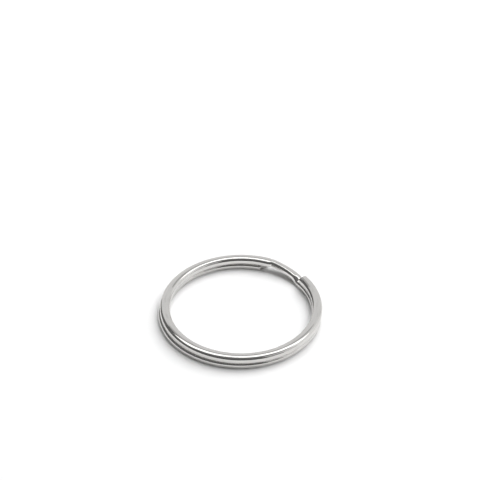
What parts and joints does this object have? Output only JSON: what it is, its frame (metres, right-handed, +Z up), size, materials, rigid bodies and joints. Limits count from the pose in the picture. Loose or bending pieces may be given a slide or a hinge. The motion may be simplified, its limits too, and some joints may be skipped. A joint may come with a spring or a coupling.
{
  "type": "split key ring",
  "caption": "Split key ring of domed spring wire wound in overlapping turns, with an offset bend between its cut ends; holds keys and fobs.",
  "frame": {"origin": "middle of the ring's outline, on the surface that the ring lies on", "axes": "+Z up along the ring's axis; +X from the ring's middle towards the side that the upper turn has slipped to, with the offset bend between +X and +Y; +Y towards the lower turn's cut end"},
  "size_m": [0.0304, 0.03, 0.0025],
  "materials": {
    "wire": "polished bright, with faint drawing lines along the wire"
  },
  "bodies": {
    "root": {"split_ring": "wire"}
  },
  "joints": []
}
